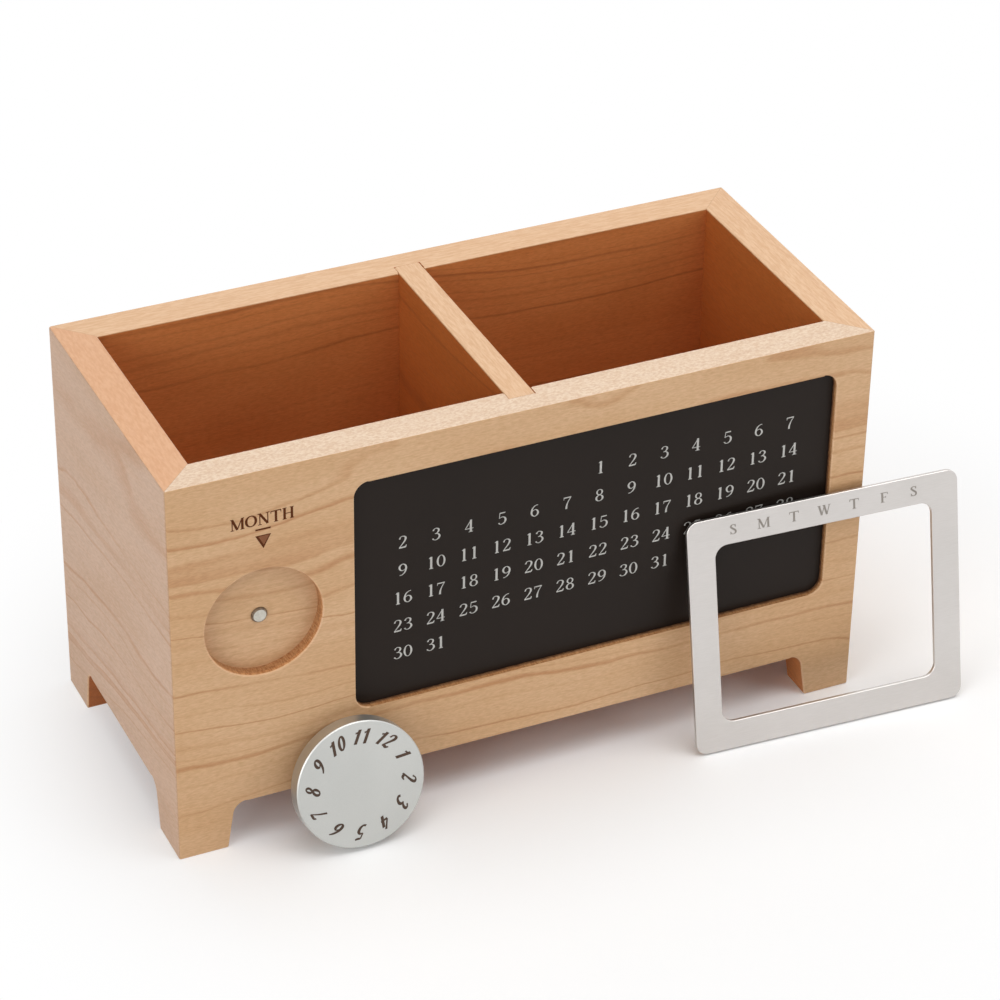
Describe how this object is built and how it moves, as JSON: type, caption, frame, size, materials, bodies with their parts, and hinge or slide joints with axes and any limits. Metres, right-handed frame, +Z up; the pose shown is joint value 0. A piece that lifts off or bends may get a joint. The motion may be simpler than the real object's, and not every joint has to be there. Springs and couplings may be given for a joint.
{
  "type": "desk pen box with perpetual calendar",
  "caption": "Mitred wooden pen box with two open compartments on corner feet, a numbered plate on its front, and a loose month dial and weekday frame leaning on it.",
  "frame": {"origin": "on the table, under the middle of the box (the loose pieces in front are not counted)", "axes": "+X along the box to the right as the calendar is read, -Y out of the calendar's side, +Z up"},
  "size_m": [0.2036, 0.0957, 0.103],
  "materials": {
    "wood": "oiled cherry, satin, fine horizontal grain",
    "floor_wood": "oiled cherry board, satin",
    "plate": "near-black satin coat with pale etched numerals",
    "film": "double-sided film, hidden",
    "frame_metal": "fine brushed, satin, with engraved grey letters",
    "dial_metal": "bead-blasted face and turned rim, with dark filled numerals",
    "magnet_metal": "nickel plated",
    "keeper_steel": "turned steel",
    "magnet_strip": "flexible magnet strip, matte dark brown"
  },
  "bodies": {
    "box": {"front_wall": "wood", "back_wall": "wood", "left_wall": "wood", "right_wall": "wood", "divider": "wood", "floor_panel": "floor_wood", "plate_film": "film", "calendar_plate": "plate", "dial_magnet": "magnet_metal"},
    "dial": {"month_dial": "dial_metal", "dial_keeper": "keeper_steel"},
    "frame": {"weekday_frame": "frame_metal", "upper_magnet_strip": "magnet_strip", "lower_magnet_strip": "magnet_strip"}
  },
  "joints": [
    {"name": "month_dial_spin", "type": "hinge", "parent": "box", "child": "dial", "pos_m": [-0.04765, -0.04997, 0.01679], "axis": [0, -0.9744, 0.225], "continuous": true},
    {"name": "weekday_frame_slide", "type": "slide", "parent": "box", "child": "frame", "axis": [1, 0, 0], "range_m": [-0.0504, 0]}
  ]
}
